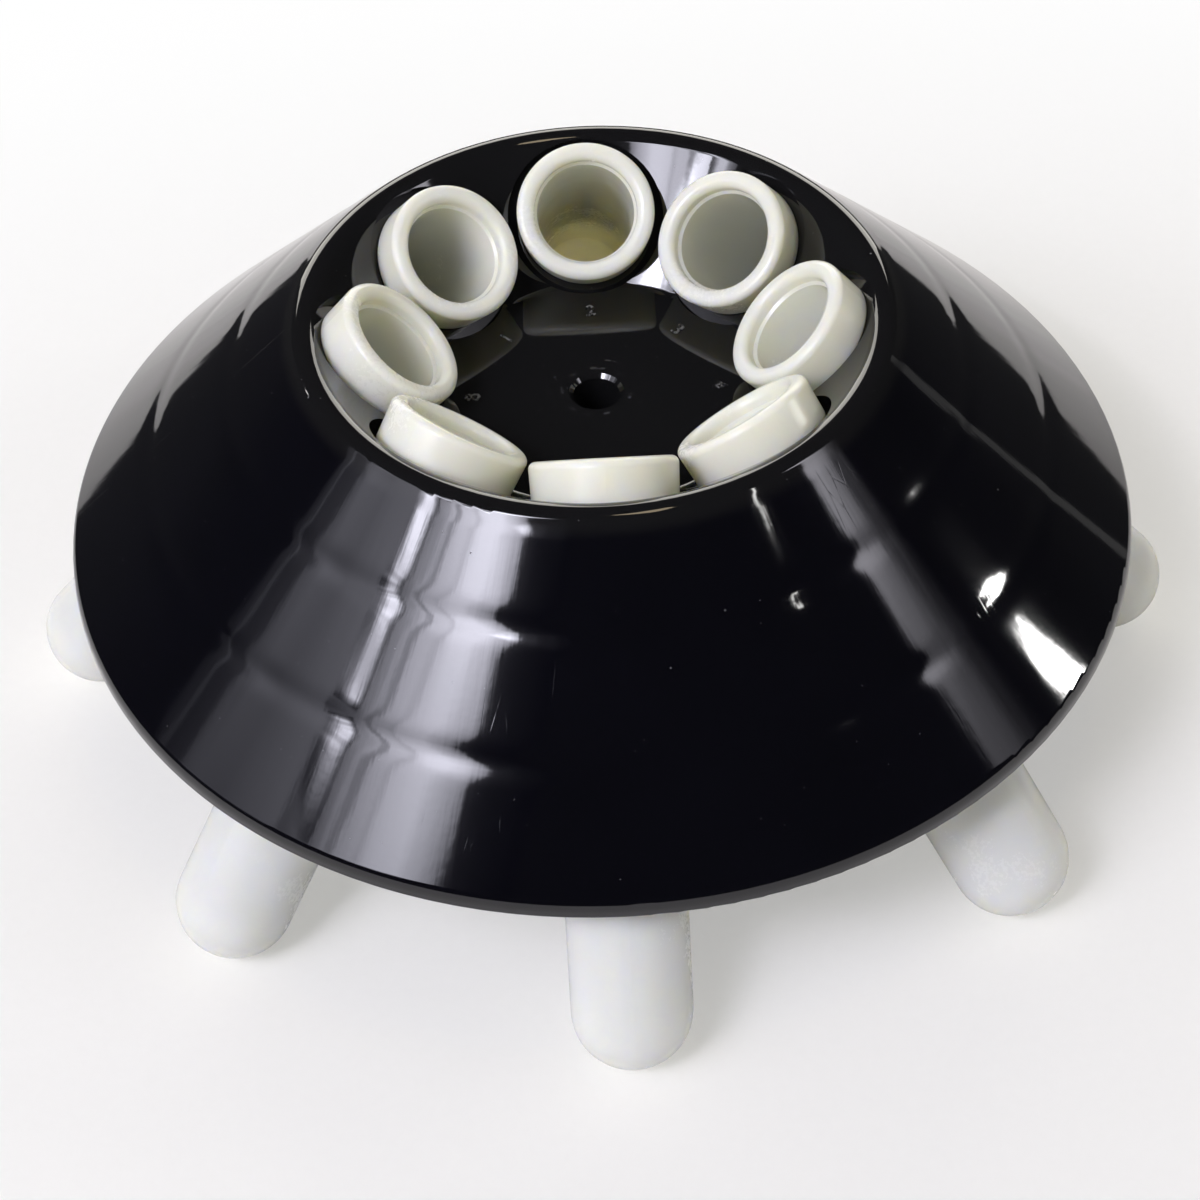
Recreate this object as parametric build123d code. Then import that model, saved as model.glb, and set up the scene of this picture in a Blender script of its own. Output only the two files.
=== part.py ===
"""Fixed-angle centrifuge rotor: one hollow moulded body and eight loose tube sleeves.

The rotor's axis is Z. The sleeves' rounded tips stand on the plane z = 0.
Heights named below are measured from the plane of the body's rim.
"""
from build123d import *
from math import cos, radians, sin, sqrt, tan
import os

# Arrangement of the sleeves, in mm and degrees
SLEEVE_COUNT = 8
SLEEVE_TILT = 42.7  # between a sleeve's axis and the rotor's axis
COLLAR_GAP = 0.83  # between neighbouring collars, at their upper edges

# Tube sleeve
SLEEVE_BORE = 8.35  # radius, for a tube 16 mm across
SLEEVE_WALL = 1.35  # at the rounded tip
SLEEVE_TAPER = 0.4  # gain in radius from the tip to the collar
SLEEVE_LENGTH = 79.0  # seat to the middle of the rounded tip
COLLAR_LEDGE = 1.485  # that rests on the seat
COLLAR_HEIGHT = 7.6
COLLAR_DRAFT = 2.0
COLLAR_EDGE = 1.2  # rounding of the collar's upper edge
COLLAR_FOOT_ROUND = 0.6
MOUTH_STEP = 0.45  # extra radius of the short recess in the mouth
MOUTH_DEPTH = 2.4
MOUTH_ROUND = 1.3

# Outer cone of the body
RIM_MARGIN = 9.4  # from a sleeve to the rim, where the sleeve comes out
RIM_BAND = 1.2  # upright band at the foot of the cone
RIM_ROUND = 3.6  # from the band into the cone
CONE_SLOPE = 44.75  # above the horizontal
CREST_ROUND = 3.2
BODY_WALL = 5.0
EDGE_ROUND = 0.5

# Recess in the top of the body
FLOOR_HEIGHT = 26.0
BOWL_SLOPE = 45.0
SEAT_OUT = 8.6  # in plan, from the floor's edge to the middle of a collar's seat
SEAT_SINK = 0.6  # of that middle, below the bowl's wall
FLOOR_ROUND = 1.5
SEAT_CLEARANCE = 1.55  # around a collar, in its spot face

# Sleeve guides
SLEEVE_CLEARANCE = 0.25  # around a sleeve, in its guide
GUIDE_LENGTH = 33.4
GUIDE_CHAMFER = 0.3  # at the upper mouth of a guide

# Hub and ring ribs under the body
SHAFT_RADIUS = 3.9
SHAFT_CHAMFER = 0.65
HUB_RADIUS = 13.0
HUB_FOOT = 2.5
DRIVE_SLOT_WIDTH = 4.0
DRIVE_SLOT_DEPTH = 4.0
RIB_THICKNESS = 2.6
RIB_HEIGHT = 3.0  # below the wall
RING_INSETS = (29.6, 14.9)  # of the ring ribs, from the rim

# Worked out from the sizes above
SLEEVE_TIP_RADIUS = SLEEVE_BORE + SLEEVE_WALL
SLEEVE_ROOT_RADIUS = SLEEVE_TIP_RADIUS + SLEEVE_TAPER
COLLAR_FOOT_RADIUS = SLEEVE_ROOT_RADIUS + COLLAR_LEDGE
COLLAR_RADIUS = COLLAR_FOOT_RADIUS + COLLAR_HEIGHT * tan(radians(COLLAR_DRAFT))
PITCH = 360 / SLEEVE_COUNT
SPREAD = sin(radians(PITCH / 2))
LEAN = sin(radians(SLEEVE_TILT))
COLLAR_REACH = COLLAR_RADIUS * sqrt(1 - (LEAN * SPREAD) ** 2)  # towards the next collar
SEAT_RADIUS = (COLLAR_REACH + COLLAR_GAP / 2) / SPREAD + COLLAR_HEIGHT * LEAN
FLOOR_RADIUS = SEAT_RADIUS - SEAT_OUT
SEAT_HEIGHT = FLOOR_HEIGHT + SEAT_OUT * tan(radians(BOWL_SLOPE)) - SEAT_SINK
EXIT_RADIUS = SEAT_RADIUS + (SEAT_HEIGHT * LEAN + SLEEVE_ROOT_RADIUS) / cos(radians(SLEEVE_TILT))
RIM_RADIUS = EXIT_RADIUS + RIM_MARGIN
GUIDE_BORE = SLEEVE_ROOT_RADIUS + SLEEVE_CLEARANCE
SPOT_FACE = COLLAR_RADIUS + SEAT_CLEARANCE
RIM_LIFT = SLEEVE_LENGTH * cos(radians(SLEEVE_TILT)) + SLEEVE_TIP_RADIUS - SEAT_HEIGHT


def crossing(first, first_slope, second, second_slope):
    """Point where two lines meet, each given by a point on it and its slope in degrees."""
    a, b = tan(radians(first_slope)), tan(radians(second_slope))
    x = (second[1] - first[1] + a * first[0] - b * second[0]) / (a - b)
    return x, first[1] + a * (x - first[0])


def cone_height(radius, depth):
    """Height of the cone's skin at a radius, a depth inside the outer skin."""
    foot = RIM_BAND + RIM_ROUND * tan(radians(90 - CONE_SLOPE) / 2) - depth / cos(radians(CONE_SLOPE))
    return foot + (RIM_RADIUS - radius) * tan(radians(CONE_SLOPE))


def skin_corners(depth):
    """Crest, floor's edge and cone's end in the rim plane, for a skin a depth inside the outer one."""
    cone = (RIM_RADIUS, cone_height(RIM_RADIUS, depth))
    bowl = (FLOOR_RADIUS, FLOOR_HEIGHT - depth / cos(radians(BOWL_SLOPE)))
    floor = (0, FLOOR_HEIGHT - depth)
    crest = crossing(cone, -CONE_SLOPE, bowl, BOWL_SLOPE)
    edge = crossing(bowl, BOWL_SLOPE, floor, 0)
    end = crossing(cone, -CONE_SLOPE, (0, 0), 0)
    return crest, edge, end


def section(corners):
    """Upright face on the XZ plane from (radius, height, rounding) corners."""
    face = make_face(Polyline([(r, h) for r, h, _ in corners], close=True))
    for r, h, rounding in corners:
        if rounding:
            corner = face.vertices().sort_by_distance((r, h))[0]
            face = fillet(corner, rounding)
    return Plane.XZ * face


def turned(corners):
    """Solid of revolution about Z with the given half section."""
    return revolve(section(corners), Axis.Z)


def sleeve_places():
    """Places of the seats, each with Z out of the sleeve's mouth, in the order of their numbers."""
    for number in range(1, SLEEVE_COUNT + 1):
        turn = Rot(0, 0, 180 - PITCH * number)
        yield turn * Pos(SEAT_RADIUS, 0, SEAT_HEIGHT) * Rot(0, -SLEEVE_TILT, 0)


def shell():
    """Outer cone, rounded crest, conical bowl and flat floor, of one wall thickness."""
    crest, edge, _ = skin_corners(0)
    inner_crest, inner_edge, inner_end = skin_corners(BODY_WALL)
    return turned([
        (RIM_RADIUS, 0, EDGE_ROUND),
        (RIM_RADIUS, cone_height(RIM_RADIUS, 0), RIM_ROUND),
        (*crest, CREST_ROUND),
        (*edge, FLOOR_ROUND),
        (0, FLOOR_HEIGHT, 0),
        (0, FLOOR_HEIGHT - BODY_WALL, 0),
        (*inner_edge, FLOOR_ROUND),
        (*inner_crest, FLOOR_ROUND),
        (*inner_end, EDGE_ROUND),
    ])


def ring_rib(radius):
    """Low ring under the cone, its top buried halfway into the wall."""
    inner, outer = radius - RIB_THICKNESS / 2, radius + RIB_THICKNESS / 2
    foot = cone_height(radius, BODY_WALL) - RIB_HEIGHT
    return turned([
        (inner, foot, 0),
        (outer, foot, 0),
        (outer, cone_height(outer, BODY_WALL / 2), 0),
        (inner, cone_height(inner, BODY_WALL / 2), 0),
    ])


def hub():
    """Round boss under the floor."""
    height = FLOOR_HEIGHT - BODY_WALL / 2 - HUB_FOOT
    return Pos(0, 0, HUB_FOOT) * Cylinder(HUB_RADIUS, height, align=(Align.CENTER, Align.CENTER, Align.MIN))


def shaft_hole():
    """Hole for the shaft's threaded end, chamfered at the floor, with a slot for the drive pin."""
    hole = turned([
        (0, 0, 0),
        (SHAFT_RADIUS, 0, 0),
        (SHAFT_RADIUS, FLOOR_HEIGHT - SHAFT_CHAMFER, 0),
        (SHAFT_RADIUS + 2 * SHAFT_CHAMFER, FLOOR_HEIGHT + SHAFT_CHAMFER, 0),
        (0, FLOOR_HEIGHT + SHAFT_CHAMFER, 0),
    ])
    slot = Pos(0, 0, HUB_FOOT) * Box(2 * HUB_RADIUS, DRIVE_SLOT_WIDTH, 2 * DRIVE_SLOT_DEPTH)
    return hole + slot


def guide():
    """Round wall that carries a sleeve below its seat."""
    return Cylinder(SPOT_FACE, GUIDE_LENGTH, align=(Align.CENTER, Align.CENTER, Align.MAX))


def seat_cut():
    """Spot face for a collar and the chamfered bore below it."""
    through = 2 * SLEEVE_LENGTH
    return turned([
        (0, -through, 0),
        (GUIDE_BORE, -through, 0),
        (GUIDE_BORE, -GUIDE_CHAMFER, 0),
        (GUIDE_BORE + GUIDE_CHAMFER, 0, 0),
        (SPOT_FACE, 0, 0),
        (SPOT_FACE, 2 * COLLAR_HEIGHT, 0),
        (0, 2 * COLLAR_HEIGHT, 0),
    ])


def rotor_body():
    """The moulding: shell, hub, guides and ribs, with the seats, bores and shaft hole cut in."""
    ribs = [ring_rib(RIM_RADIUS - inset) for inset in RING_INSETS]
    guides = [place * guide() for place in sleeve_places()]
    seat_cuts = [place * seat_cut() for place in sleeve_places()]
    return shell() + [hub(), *ribs, *guides] - [shaft_hole(), *seat_cuts]


def tube_sleeve():
    """Round-bottomed sleeve with a thick collar, its seat at the origin and its mouth up."""
    mouth = SLEEVE_BORE + MOUTH_STEP
    wall = turned([
        (SLEEVE_BORE, -SLEEVE_LENGTH, 0),
        (SLEEVE_TIP_RADIUS, -SLEEVE_LENGTH, 0),
        (SLEEVE_ROOT_RADIUS, 0, 0),
        (COLLAR_FOOT_RADIUS, 0, COLLAR_FOOT_ROUND),
        (COLLAR_RADIUS, COLLAR_HEIGHT, COLLAR_EDGE),
        (mouth, COLLAR_HEIGHT, MOUTH_ROUND),
        (mouth, COLLAR_HEIGHT - MOUTH_DEPTH, 0),
        (SLEEVE_BORE, COLLAR_HEIGHT - MOUTH_DEPTH - MOUTH_STEP, 0),
    ])
    middle = Pos(0, 0, -SLEEVE_LENGTH)
    lower_half = middle * Cylinder(
        COLLAR_RADIUS, COLLAR_RADIUS, align=(Align.CENTER, Align.CENTER, Align.MAX))
    tip = middle * Sphere(SLEEVE_TIP_RADIUS) - middle * Sphere(SLEEVE_BORE)
    return wall + (tip & lower_half)


def main():
    os.makedirs("parts", exist_ok=True)
    lift = Pos(0, 0, RIM_LIFT)
    export_step(lift * rotor_body(), "parts/rotor_body.step")
    sleeve = tube_sleeve()
    for number, place in enumerate(sleeve_places(), start=1):
        export_step(lift * place * sleeve, f"parts/tube_sleeve_{number}.step")


main()
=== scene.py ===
"""Looks of the fixed-angle rotor: a refined body moulding, place numbers, materials, light and camera.

Everything is in metres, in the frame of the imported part.
"""
import math

import bmesh
import bpy
import numpy as np
from mathutils import Matrix, Vector


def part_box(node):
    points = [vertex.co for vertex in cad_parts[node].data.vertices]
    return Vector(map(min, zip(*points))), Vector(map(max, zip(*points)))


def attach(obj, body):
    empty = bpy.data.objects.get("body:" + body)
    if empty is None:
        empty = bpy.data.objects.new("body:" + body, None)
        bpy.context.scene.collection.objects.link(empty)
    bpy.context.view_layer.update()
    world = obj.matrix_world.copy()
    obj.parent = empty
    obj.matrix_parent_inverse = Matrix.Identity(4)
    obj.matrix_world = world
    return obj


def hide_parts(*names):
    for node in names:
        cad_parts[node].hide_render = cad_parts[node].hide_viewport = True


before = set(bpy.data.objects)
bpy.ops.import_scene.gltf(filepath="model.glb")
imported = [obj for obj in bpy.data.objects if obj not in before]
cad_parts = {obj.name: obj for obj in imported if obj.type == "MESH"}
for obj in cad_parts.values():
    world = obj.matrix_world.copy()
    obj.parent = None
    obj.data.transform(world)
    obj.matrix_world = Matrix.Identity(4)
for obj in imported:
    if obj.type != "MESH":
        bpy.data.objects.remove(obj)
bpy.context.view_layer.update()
scene = bpy.context.scene
RIM_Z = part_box("rotor_body")[0].z  # plane of the body's rim
PLACES = range(1, 9)  # numbers of the sleeves' places

# Shape of the moulding, as in the CAD part
FLOOR_Z = RIM_Z + 0.0260
CONE_SLOPE = math.radians(44.75)
CONE_FOOT = (0.0906614, RIM_Z + 0.0027004)  # radius and height of the cone's unrounded foot
CONE_LEAST = 0.045  # radius inside which no point is on the cone
BOWL_FOOT = (0.0275441, FLOOR_Z)  # radius and height of the unrounded edge of the floor
ROUNDS = (  # radius and height of a rounding's middle, and its size
    (0.0870614, RIM_Z + 0.0012, 0.0036),  # rim
    (0.0472742, RIM_Z + 0.0412047, 0.0032),  # crest
)

# Sunk rings in the cone, over the ring ribs
CONE_SPAN = (0.0545, 0.0825)  # radii between which the cone may sink
SINK_RADII = (0.0611, 0.0758)
SINK_DEPTH = 0.00010
SINK_WIDTH = 0.0021
RING_STEP = 0.0006  # between the cuts that make the cone's mesh fine enough

# How near a point or a normal must be to count
TINY = 1e-6  # a length that counts as none
ON_CONE = 0.00012  # height within which a point counts as on the cone
ON_WALL = 2e-6  # the same for the bowl's wall
ON_ROUND = 0.001  # the same for a rounding, as a share of its size
SAME_WAY = 0.93  # least cosine between a corner's normal and the one that replaces it

# Digits on the floor
DIGIT_HEIGHT = 0.0036
DIGIT_RISE = 0.00012
DIGIT_BEVEL = 0.00006
DIGIT_RING = 0.0205  # radius of the circle they stand on

ARC_RADIUS = 0.065  # middle radius of the cone, for patterns that follow it


# ---------------------------------------------------------------- camera
def photo_camera():
    """Camera at the photograph's place and angle."""
    right = Vector((0.998491, -0.047808, -0.027008))
    up = Vector((0.053100, 0.715496, 0.696596))
    ahead = Vector((0.013979, 0.696979, -0.716955))
    place = (-0.008144, -0.368331, 0.388736)
    data = bpy.data.cameras.new("camera")
    data.sensor_width = 36.0
    data.lens = 88.749
    data.clip_start = 0.01
    camera = bpy.data.objects.new("camera", data)
    turn = Matrix((right, up, -ahead)).transposed().to_4x4()
    camera.matrix_world = Matrix.Translation(place) @ turn
    scene.collection.objects.link(camera)
    scene.camera = camera


# ---------------------------------------------------------------- node helpers
class Shader:
    """Short way to add nodes to a node tree and wire them."""

    def __init__(self, tree):
        self.tree = tree
        tree.nodes.clear()

    def node(self, kind, inputs=None, **settings):
        made = self.tree.nodes.new(kind)
        for name, value in settings.items():
            setattr(made, name, value)
        for name, value in (inputs or {}).items():
            self.feed(made.inputs[name], value)
        return made

    def feed(self, socket, value):
        if isinstance(value, bpy.types.NodeSocket):
            self.tree.links.new(value, socket)
        else:
            socket.default_value = value

    def math(self, operation, first, second=0.0, clamp=False):
        made = self.tree.nodes.new("ShaderNodeMath")
        made.operation = operation
        made.use_clamp = clamp
        for socket, value in zip(made.inputs, (first, second)):
            self.feed(socket, value)
        return made.outputs[0]

    def span(self, value, low, high, out_low=0.0, out_high=1.0):
        made = self.node("ShaderNodeMapRange", {
            "Value": value, "From Min": low, "From Max": high, "To Min": out_low, "To Max": out_high})
        made.interpolation_type = "SMOOTHSTEP"
        return made.outputs["Result"]

    def mix(self, factor, first, second):
        made = self.tree.nodes.new("ShaderNodeMix")
        made.data_type = "RGBA"
        self.feed(made.inputs["Factor"], factor)
        for socket, value in ((made.inputs[6], first), (made.inputs[7], second)):
            if not isinstance(value, bpy.types.NodeSocket):
                value = (*value, 1.0)
            self.feed(socket, value)
        return made.outputs[2]

    def noise(self, vector, scale, detail=2.0, roughness=0.5):
        return self.node("ShaderNodeTexNoise", {
            "Vector": vector, "Scale": scale, "Detail": detail, "Roughness": roughness}).outputs["Fac"]

    def bump(self, height, distance, normal=None):
        inputs = {"Height": height, "Distance": distance, "Strength": 1.0}
        if normal is not None:
            inputs["Normal"] = normal
        return self.node("ShaderNodeBump", inputs).outputs["Normal"]


def material(name):
    made = bpy.data.materials.new(name)
    made.use_nodes = True
    return made, Shader(made.node_tree)


def specks(s, place, cell, size, share, seed):
    """Mask of round specks, one in the given share of cells; sizes in metres."""
    moved = s.node("ShaderNodeVectorMath", {0: place, 1: (seed, seed * 0.7, -seed)}, operation="ADD")
    cells = s.node("ShaderNodeTexVoronoi", {"Vector": moved.outputs[0], "Scale": 1 / cell})
    near = s.math("LESS_THAN", cells.outputs["Distance"], size / cell)
    pick = s.node("ShaderNodeSeparateColor", {"Color": cells.outputs["Color"]}).outputs[0]
    return s.math("MULTIPLY", near, s.math("LESS_THAN", pick, share))


# ---------------------------------------------------------------- materials
def black_gloss():
    """Polished black moulding: drawn streaks down the cone, hairlines, scuffed floor, a little dust, and a
    painted reflection that makes the recess lighter.
    """
    made, s = material("black_gloss")
    place = s.node("ShaderNodeTexCoord").outputs["Object"]
    x, y, z = s.node("ShaderNodeSeparateXYZ", {0: place}).outputs
    radius = s.math("SQRT", s.math("ADD", s.math("MULTIPLY", x, x), s.math("MULTIPLY", y, y)))
    turn = s.math("ARCTAN2", y, x)
    # coordinates that follow the cone: arc round it, and radius squeezed so that marks run down it
    arc = s.math("MULTIPLY", turn, ARC_RADIUS)
    drawn = s.node("ShaderNodeCombineXYZ", {
        0: arc, 1: s.math("MULTIPLY", radius, 0.09), 2: 0.0}).outputs[0]
    streaks = s.noise(drawn, 900.0, 3.0, 0.6)
    waves = s.noise(drawn, 190.0, 1.0, 0.4)
    on_cone = s.span(radius, 0.0496, 0.0515)
    mottle = s.noise(place, 60.0, 3.0, 0.55)
    peel = s.noise(place, 700.0, 1.0, 0.5)

    hair = s.node("ShaderNodeCombineXYZ", {
        0: arc, 1: s.math("MULTIPLY", radius, 0.16), 2: s.math("MULTIPLY", z, 0.1)}).outputs[0]
    lines = s.node("ShaderNodeTexVoronoi", {"Vector": hair, "Scale": 420.0},
                   feature="DISTANCE_TO_EDGE").outputs["Distance"]
    hairline = s.math("MULTIPLY", s.span(lines, 0.0, 0.02, 1.0, 0.0), s.span(mottle, 0.62, 0.72))
    hairline = s.math("MULTIPLY", hairline, on_cone)

    # two rings round the shaft hole, as (radius, half width), rubbed through in patches
    rings = [s.span(s.math("ABSOLUTE", s.math("SUBTRACT", radius, ring)), 0.0, half, 1.0, 0.0)
             for ring, half in ((0.0058, 0.0007), (0.0079, 0.0004))]
    scuffs = s.math("MULTIPLY", s.math("MAXIMUM", *rings),
                    s.span(s.noise(place, 420.0, 3.0), 0.50, 0.68))

    dust = specks(s, place, 0.0042, 0.00015, 0.20, 3.1)
    fine = specks(s, place, 0.0017, 0.00007, 0.25, 9.7)
    dusty = s.math("MAXIMUM", dust, fine)

    colour = s.mix(mottle, (0.0018, 0.0018, 0.0032), (0.0028, 0.0027, 0.0050))
    # painted reflection: inside the crest the base colour is made lighter, standing in for the collars'
    # reflection in the recess
    painted_recess_reflection = s.math("SUBTRACT", 1.0, on_cone)
    colour = s.mix(s.math("MULTIPLY", painted_recess_reflection, 0.85), colour, (0.0085, 0.0085, 0.0088))
    colour = s.mix(s.math("MULTIPLY", scuffs, 0.35), colour, (0.055, 0.055, 0.06))
    colour = s.mix(s.math("MULTIPLY", dusty, 0.9), colour, (0.15, 0.15, 0.16))
    rough = s.math("ADD", s.math("MULTIPLY", s.math("MULTIPLY", streaks, on_cone), 0.025),
                   s.math("MULTIPLY", mottle, 0.025))
    rough = s.math("ADD", rough, s.math("MULTIPLY", hairline, 0.05))
    rough = s.math("ADD", rough, s.math("MULTIPLY", s.math("MAXIMUM", scuffs, dusty), 0.35))
    rough = s.math("ADD", rough, 0.03, clamp=True)

    normal = s.bump(s.math("MULTIPLY", waves, on_cone), 0.00005)
    normal = s.bump(s.math("MULTIPLY", streaks, on_cone), 0.000005, normal=normal)
    normal = s.bump(peel, 0.000002, normal=normal)
    normal = s.bump(s.math("ADD", s.math("MULTIPLY", hairline, -0.4), dusty), 0.00001, normal=normal)
    principled = s.node("ShaderNodeBsdfPrincipled", {
        "Base Color": colour, "Roughness": rough, "IOR": 1.58, "Normal": normal})
    s.node("ShaderNodeOutputMaterial", {"Surface": principled.outputs[0]})
    return made


def worn_digits():
    """Raised figures of the same black plastic, their tops rougher and painted grey in patches, a painted
    glint for the sparkle of their edges.
    """
    made, s = material("worn_digits")
    place = s.node("ShaderNodeTexCoord").outputs["Object"]
    # painted glint: grey patches on the figures' tops stand in for the glints of their raised edges
    painted_glint = s.span(s.noise(place, 1400.0, 2.0), 0.4, 0.62)
    principled = s.node("ShaderNodeBsdfPrincipled", {
        "Base Color": s.mix(painted_glint, (0.010, 0.010, 0.010), (0.16, 0.16, 0.155)),
        "Roughness": s.math("ADD", 0.18, s.math("MULTIPLY", painted_glint, 0.3)), "IOR": 1.5})
    s.node("ShaderNodeOutputMaterial", {"Surface": principled.outputs[0]})
    return made


def ivory_plastic():
    """Translucent ivory polypropylene with a soft satin gloss, slight yellowing and a few dark specks."""
    made, s = material("ivory_plastic")
    place = s.node("ShaderNodeTexCoord").outputs["Object"]
    cloud = s.noise(place, 45.0, 3.0, 0.55)
    grain = s.noise(place, 1600.0, 2.0, 0.6)
    peel = s.noise(place, 260.0, 2.0, 0.5)
    pits = specks(s, place, 0.0065, 0.00013, 0.14, 5.3)
    colour = s.mix(s.span(cloud, 0.3, 0.7), (0.855, 0.858, 0.738), (0.88, 0.884, 0.788))
    colour = s.mix(s.math("MULTIPLY", pits, 0.6), colour, (0.32, 0.26, 0.17))
    rough = s.math("ADD", s.span(cloud, 0.3, 0.7, 0.17, 0.25), s.math("MULTIPLY", grain, 0.06))
    normal = s.bump(peel, 0.000015)
    normal = s.bump(grain, 0.000004, normal=normal)
    principled = s.node("ShaderNodeBsdfPrincipled", {
        "Base Color": colour, "Roughness": rough, "IOR": 1.49, "Normal": normal,
        "Subsurface Weight": 0.8, "Subsurface Radius": (1.0, 0.88, 0.55), "Subsurface Scale": 0.004})
    s.node("ShaderNodeOutputMaterial", {"Surface": principled.outputs[0]})
    return made


# ---------------------------------------------------------------- body moulding
def sink(radius):
    """Depth of the cone's surface below the true cone, and its slope down the cone, at radii."""
    depth = np.zeros_like(radius)
    slope = np.zeros_like(radius)
    for ring in SINK_RADII:
        along = (radius - ring) / math.cos(CONE_SLOPE) / SINK_WIDTH
        dip = SINK_DEPTH * np.exp(-along ** 2)
        depth += dip
        slope += 2 * along * dip / SINK_WIDTH
    inner, outer = CONE_SPAN
    inside = (radius > inner) & (radius < outer)
    return depth * inside, slope * inside


def cone_z(radius):
    return CONE_FOOT[1] + (CONE_FOOT[0] - radius) * math.tan(CONE_SLOPE)


def true_normals(points, normals):
    """Normals put right on the bowl's wall and the roundings, where the coarse mesh averages them."""
    radii, heights = np.hypot(points[:, 0], points[:, 1]), points[:, 2]
    out = points[:, :2] / np.maximum(radii, TINY)[:, None]
    wall = np.abs(heights - BOWL_FOOT[1] - radii + BOWL_FOOT[0]) < ON_WALL
    wall_normals = np.column_stack([-out, np.ones(len(out))]) / math.sqrt(2)
    found = [(wall & (radii > BOWL_FOOT[0]), wall_normals)]
    for middle, height, size in ROUNDS:
        side, rise = (radii - middle) / size, (heights - height) / size
        on = (np.abs(np.hypot(side, rise) - 1) < ON_ROUND) & (rise > -ON_ROUND)
        found.append((on, np.column_stack([out * side[:, None], rise])))
    for on, right in found:
        on = on & (np.einsum("ij,ij->i", normals, right) > SAME_WAY)
        normals[on] = right[on]
    return normals


def body_moulding():
    """The CAD body with its cone cut into fine rings, sunk a little over the two ring ribs."""
    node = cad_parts["rotor_body"]
    mesh = node.data.copy()
    mesh.name = "body_moulding"
    kept = mesh.attributes.new("kept_normal", "FLOAT_VECTOR", "CORNER")
    normals = np.empty(len(mesh.loops) * 3, np.float32)
    mesh.corner_normals.foreach_get("vector", normals)
    kept.data.foreach_set("vector", normals)

    grid = bmesh.new()
    grid.from_mesh(mesh)
    bmesh.ops.remove_doubles(grid, verts=grid.verts, dist=TINY)

    def on_cone(vertex):
        r = math.hypot(vertex.co.x, vertex.co.y)
        return abs(vertex.co.z - cone_z(r)) < ON_CONE and r > CONE_LEAST

    for radius in np.arange(CONE_SPAN[0], CONE_SPAN[1], RING_STEP):
        faces = [f for f in grid.faces if all(on_cone(v) for v in f.verts)]
        edges = list({e for f in faces for e in f.edges})
        verts = list({v for f in faces for v in f.verts})
        bmesh.ops.bisect_plane(
            grid, geom=faces + edges + verts, dist=1e-7,
            plane_co=(0, 0, cone_z(radius)), plane_no=(0, 0, 1))
    bmesh.ops.triangulate(grid, faces=[f for f in grid.faces if len(f.verts) > 4])
    grid.to_mesh(mesh)
    grid.free()

    count = len(mesh.vertices)
    points = np.empty(count * 3)
    mesh.vertices.foreach_get("co", points)
    points = points.reshape(-1, 3)
    radii = np.hypot(points[:, 0], points[:, 1])
    level = (np.abs(points[:, 2] - cone_z(radii)) < ON_CONE) & (radii > CONE_LEAST)
    depth, slope = sink(radii)
    depth, slope = depth * level, slope * level
    out = np.zeros((count, 2))
    out[level] = points[level, :2] / radii[level, None]
    across = np.column_stack([out * math.sin(CONE_SLOPE), np.full(count, math.cos(CONE_SLOPE))])
    down = np.column_stack([out * math.cos(CONE_SLOPE), np.full(count, -math.sin(CONE_SLOPE))])
    mesh.vertices.foreach_set("co", (points - across * depth[:, None]).ravel())

    corners = np.empty(len(mesh.loops), np.int32)
    mesh.loops.foreach_get("vertex_index", corners)
    normals = np.empty(len(mesh.loops) * 3)
    mesh.attributes["kept_normal"].data.foreach_get("vector", normals)
    normals = normals.reshape(-1, 3)
    normals = true_normals(points[corners], normals)
    facing = level[corners] & (np.einsum("ij,ij->i", normals, across[corners]) > SAME_WAY)
    normals[facing] = (across - slope[:, None] * down)[corners[facing]]
    normals /= np.linalg.norm(normals, axis=1)[:, None]
    mesh.attributes.remove(mesh.attributes["kept_normal"])
    mesh.polygons.foreach_set("use_smooth", np.ones(len(mesh.polygons), bool))
    mesh.normals_split_custom_set(normals.tolist())
    mesh.update()

    piece = bpy.data.objects.new("body_moulding", mesh)
    scene.collection.objects.link(piece)
    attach(piece, "root")
    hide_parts("rotor_body")
    return piece


def place_numbers():
    """Plain raised digits 1 to 8 on the floor, each in front of its own sleeve."""
    joined = bmesh.new()
    for number in PLACES:
        curve = bpy.data.curves.new(f"digit_{number}", "FONT")
        curve.body = str(number)
        curve.size = DIGIT_HEIGHT
        curve.extrude = DIGIT_RISE
        curve.bevel_depth = DIGIT_BEVEL
        curve.bevel_resolution = 1
        curve.align_x = "CENTER"
        curve.align_y = "CENTER"
        text = bpy.data.objects.new(f"digit_{number}", curve)
        scene.collection.objects.link(text)
        bpy.context.view_layer.update()
        evaluated = text.evaluated_get(bpy.context.evaluated_depsgraph_get())
        mesh = bpy.data.meshes.new_from_object(evaluated)
        azimuth = math.radians(180 - 45 * number)
        turn = Matrix.Rotation(azimuth - math.pi / 2, 4, "Z")
        place = Matrix.Translation(
            (DIGIT_RING * math.cos(azimuth), DIGIT_RING * math.sin(azimuth), FLOOR_Z))
        mesh.transform(place @ turn)
        joined.from_mesh(mesh)
        bpy.data.objects.remove(text)
    bmesh.ops.remove_doubles(joined, verts=joined.verts, dist=TINY)
    mesh = bpy.data.meshes.new("place_numbers")
    joined.to_mesh(mesh)
    joined.free()
    piece = bpy.data.objects.new("place_numbers", mesh)
    scene.collection.objects.link(piece)
    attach(piece, "root")
    return piece


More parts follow.
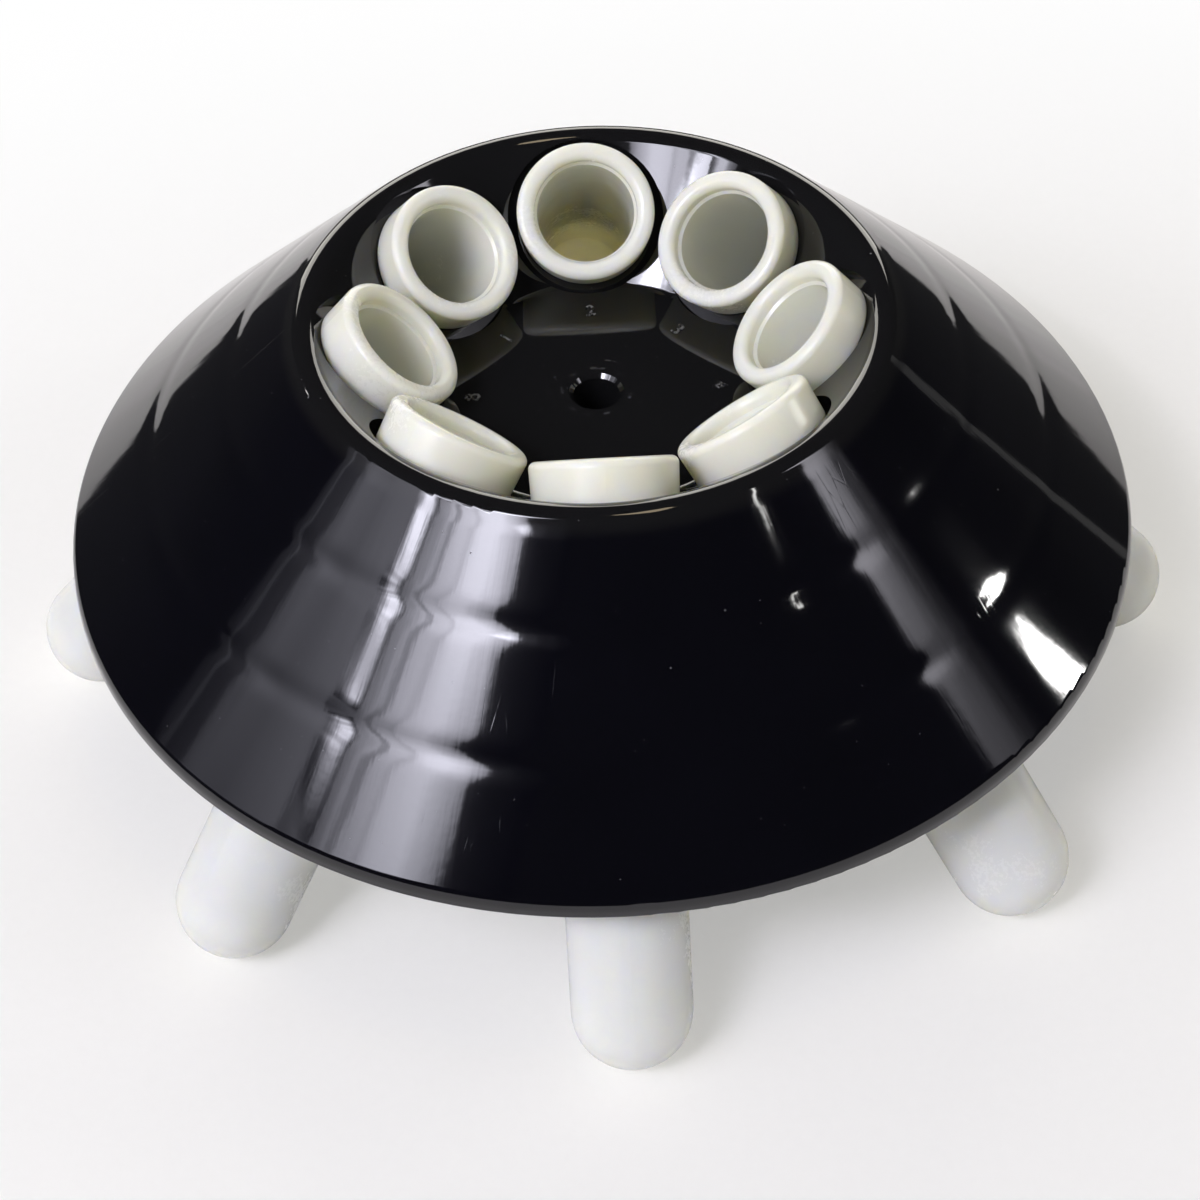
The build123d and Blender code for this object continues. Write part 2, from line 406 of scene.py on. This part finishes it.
# ---------------------------------------------------------------- stage and light
TABLE_CENTRE = (0.05, -0.37)
TABLE_RADIUS = 0.62
FADE = (0.70 * TABLE_RADIUS, 0.98 * TABLE_RADIUS)  # where the floor turns into the background
PALE = (0.93, 0.92, 0.885)  # the floor's colour
PALE_LOW = [0.98 * part for part in PALE]
PALE_HIGH = [1.01 * part for part in PALE]
FAR_PALE = 1.0  # level of the background, to the camera
CARD_FROM = Vector((0.0, -0.05, 0.06))  # the cards' directions are seen from here
CARD_DISTANCE = 2.5
CARD_COLUMNS, CARD_ROWS = 24, 12
EVEN = ((0, 1), (1, 1))  # stops of a level that doesn't vary


def table_top():
    """Pale round floor; to the camera its edge fades into the pale background."""
    made, s = material("pale_floor")
    place = s.node("ShaderNodeTexCoord").outputs["Object"]
    away = s.node("ShaderNodeVectorMath", {0: place, 1: (*TABLE_CENTRE, 0.0)},
                  operation="DISTANCE").outputs["Value"]
    grain = s.noise(place, 500.0, 2.0)
    matt = s.node("ShaderNodeBsdfPrincipled", {
        "Base Color": s.mix(grain, PALE_LOW, PALE_HIGH), "Roughness": 0.75,
        "Specular IOR Level": 0.2})
    far = s.node("ShaderNodeEmission", {"Color": (1, 1, 1, 1), "Strength": FAR_PALE})
    seen = s.node("ShaderNodeLightPath").outputs["Is Camera Ray"]
    fade = s.math("MULTIPLY", seen, s.span(away, *FADE, 0.35, 1.0))
    top = s.node("ShaderNodeMixShader", {"Fac": fade, 1: matt.outputs[0], 2: far.outputs[0]})
    s.node("ShaderNodeOutputMaterial", {"Surface": top.outputs[0]})
    disc = bmesh.new()
    bmesh.ops.create_circle(disc, cap_ends=True, radius=TABLE_RADIUS, segments=160)
    bmesh.ops.translate(disc, verts=disc.verts, vec=(*TABLE_CENTRE, 0.0))
    mesh = bpy.data.meshes.new("floor")
    disc.to_mesh(mesh)
    disc.free()
    mesh.materials.append(made)
    floor = bpy.data.objects.new("floor", mesh)
    scene.collection.objects.link(floor)


def surroundings():
    """White background for the camera, a dim band for reflections, and a warm soft fill for matt
    surfaces, most of it from the camera's side and the left."""
    world = bpy.data.worlds.new("surroundings")
    scene.world = world
    world.use_nodes = True
    s = Shader(world.node_tree)
    way = s.node("ShaderNodeTexCoord").outputs["Generated"]
    x, y, height = s.node("ShaderNodeSeparateXYZ", {0: way}).outputs
    band = s.span(height, 0.0, 0.25, 0.04, 0.018)
    slant = s.math("ADD", s.math("MULTIPLY", x, -0.14), s.math("MULTIPLY", y, -0.05))
    soft = s.math("MAXIMUM", s.math("ADD", slant, 0.30), 0.05)
    path = s.node("ShaderNodeLightPath").outputs
    mirrored = s.math("MAXIMUM", path["Is Glossy Ray"], path["Is Transmission Ray"])
    fill = s.node("ShaderNodeMix", {"Factor": mirrored, "A": soft, "B": band}, data_type="FLOAT").outputs[0]
    level = s.node("ShaderNodeMix", {"Factor": path["Is Camera Ray"], "A": fill, "B": FAR_PALE},
                   data_type="FLOAT").outputs[0]
    tint = s.mix(s.math("MAXIMUM", path["Is Camera Ray"], mirrored), (1.0, 0.965, 0.90), (1.0, 1.0, 1.0))
    sky = s.node("ShaderNodeBackground", {"Color": tint, "Strength": level})
    s.node("ShaderNodeOutputWorld", {"Surface": sky.outputs[0]})


def ramp(s, value, stops):
    """Grey levels between stops of (place, level), the levels given as shares of the highest."""
    made = s.node("ShaderNodeValToRGB", {"Fac": value})
    points = made.color_ramp.elements
    while len(points) < len(stops):
        points.new(0.5)
    for point, (at, level) in zip(points, stops):
        point.position = at
    for point, (at, level) in zip(points, stops):
        point.color = (level, level, level, 1.0)
    return made.outputs["Color"]


def card(name, corners, radiance, colour, across=EVEN, upward=EVEN, distance=CARD_DISTANCE):
    """Glowing card, its corners given as azimuth and elevation in degrees, anticlockwise from the
    lower end of its low-azimuth side; its levels vary across it and upward."""
    verts, marks = [], []
    for row in range(CARD_ROWS + 1):
        for column in range(CARD_COLUMNS + 1):
            u, v = column / CARD_COLUMNS, row / CARD_ROWS
            low = [a + (b - a) * u for a, b in zip(corners[0], corners[1])]
            high = [a + (b - a) * u for a, b in zip(corners[3], corners[2])]
            azimuth, elevation = (math.radians(a + (b - a) * v) for a, b in zip(low, high))
            way = Vector((
                math.cos(elevation) * math.cos(azimuth),
                math.cos(elevation) * math.sin(azimuth),
                math.sin(elevation)))
            verts.append(CARD_FROM + way * distance)
            marks.append((u, v))
    wide = CARD_COLUMNS + 1
    faces = [(r * wide + c, r * wide + c + 1, (r + 1) * wide + c + 1, (r + 1) * wide + c)
             for r in range(CARD_ROWS) for c in range(CARD_COLUMNS)]
    mesh = bpy.data.meshes.new(name)
    mesh.from_pydata(verts, [], faces)
    spread = mesh.uv_layers.new(name="spread")
    for loop in mesh.loops:
        spread.data[loop.index].uv = marks[loop.vertex_index]
    made, s = material(name)
    chart = s.node("ShaderNodeUVMap", uv_map="spread").outputs[0]
    at = s.node("ShaderNodeSeparateXYZ", {0: chart}).outputs
    level = s.math("MULTIPLY", ramp(s, at[0], across), ramp(s, at[1], upward))
    glow = s.node("ShaderNodeEmission", {
        "Color": (*colour, 1.0), "Strength": s.math("MULTIPLY", level, radiance)})
    s.node("ShaderNodeOutputMaterial", {"Surface": glow.outputs[0]})
    mesh.materials.append(made)
    piece = bpy.data.objects.new(name, mesh)
    piece.visible_camera = False
    scene.collection.objects.link(piece)


def cards():
    """Windows, walls and lamps of the room, as the gloss shows them."""
    cool, plain, warm = (0.875, 0.87, 1.0), (1.0, 0.99, 0.97), (1.0, 0.82, 0.56)
    card("window", ((-158, 25), (-124, 25), (-91, 58), (-158, 58)), 16.5, cool,
         across=((0.0, 0.22), (0.12, 0.32), (0.20, 0.42), (0.235, 0.62), (0.255, 0.36),
                 (0.275, 0.36), (0.295, 0.74), (0.36, 0.78), (0.39, 0.66), (0.42, 0.92),
                 (0.48, 1.0), (0.55, 1.0), (0.60, 0.78), (0.66, 0.55), (0.70, 0.32),
                 (0.725, 0.012), (0.83, 0.004), (1.0, 0.0)),
         upward=((0.0, 0.12), (0.12, 0.28), (0.22, 0.46), (0.30, 0.60), (0.39, 0.72),
                 (0.45, 0.90), (0.52, 1.0), (0.61, 1.0), (0.64, 2.8), (0.70, 2.8),
                 (0.73, 0.8), (0.97, 0.8), (1.0, 0.0)))
    card("window_gap", ((-158.0, 28), (-152, 28), (-151, 58), (-166, 58)), 15.0, cool,
         across=((0.0, 0.10), (0.30, 0.35), (0.45, 1.0), (0.70, 1.0), (0.85, 0.25), (1.0, 0.0)),
         upward=((0.0, 0.0), (0.05, 0.25), (0.09, 0.9), (0.125, 0.55), (0.16, 0.6), (0.18, 1.0),
                 (0.205, 0.8), (0.25, 1.35), (0.45, 0.7), (0.95, 0.7), (1.0, 0.0)),
         distance=2.4)  # nearer, so that it stands in front of the window
    card("window_side", ((173, 15), (202, 15), (202, 40), (173, 40)), 2.3, cool,
         across=((0.0, 0.0), (0.05, 0.25), (0.10, 0.28), (0.11, 0.60), (0.13, 0.60), (0.14, 0.25),
                 (0.27, 0.30), (0.32, 0.85), (0.40, 1.0), (0.60, 0.75), (0.80, 0.85), (1.0, 0.9)),
         upward=((0.0, 0.2), (0.25, 0.40), (0.45, 0.65), (0.7, 1.0), (0.9, 1.0), (1.0, 0.0)))
    card("wall_glow", ((-16, 14), (-2, 14), (2, 46), (-18, 46)), 3.8, (0.93, 0.91, 1.0),
         across=((0.0, 0.0), (0.10, 0.03), (0.15, 0.85), (0.20, 1.0), (0.40, 0.95), (0.58, 0.70),
                 (0.70, 0.30), (0.85, 0.09), (1.0, 0.0)),
         upward=((0.0, 0.10), (0.28, 0.27), (0.38, 0.50), (0.48, 1.0), (0.65, 1.4), (0.95, 1.5),
                 (1.0, 0.0)))
    card("wall_line", ((29.6, -3), (31.4, -3), (31.0, 11), (29.2, 11)), 0.30, plain,
         upward=((0.0, 1.0), (0.7, 1.0), (1.0, 0.0)))
    card("lamp_right", ((7.0, 10.0), (10.5, 10.0), (6.4, 15.7), (3.0, 15.7)), 45.0, plain,
         across=((0.0, 0.2), (0.1, 1.0), (0.9, 1.0), (1.0, 0.2)))
    card("lamp_small", ((-33.6, 37.3), (-32.4, 37.3), (-32.9, 39.8), (-34.0, 39.8)), 15.0, plain,
         across=((0.0, 0.0), (0.2, 1.0), (0.8, 1.0), (1.0, 0.0)))
    card("lamp_back", ((149.6, 14), (151.2, 14), (151.2, 19), (149.6, 19)), 14.0, plain)
    card("wall_behind", ((60, 3), (120, 3), (120, 27), (60, 27)), 3.6, (1.0, 0.97, 0.90))
    card("ceiling", ((-40, 79), (40, 79), (40, 88), (-40, 88)), 4.5, warm)


# ---------------------------------------------------------------- build
scene.view_settings.view_transform = "Standard"
photo_camera()
gloss = black_gloss()
digits = worn_digits()
ivory = ivory_plastic()
for piece, look in ((body_moulding(), gloss), (place_numbers(), digits)):
    piece.data.materials.clear()
    piece.data.materials.append(look)
for number in PLACES:
    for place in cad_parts[f"tube_sleeve_{number}"].material_slots:
        place.material = ivory
table_top()
surroundings()
cards()
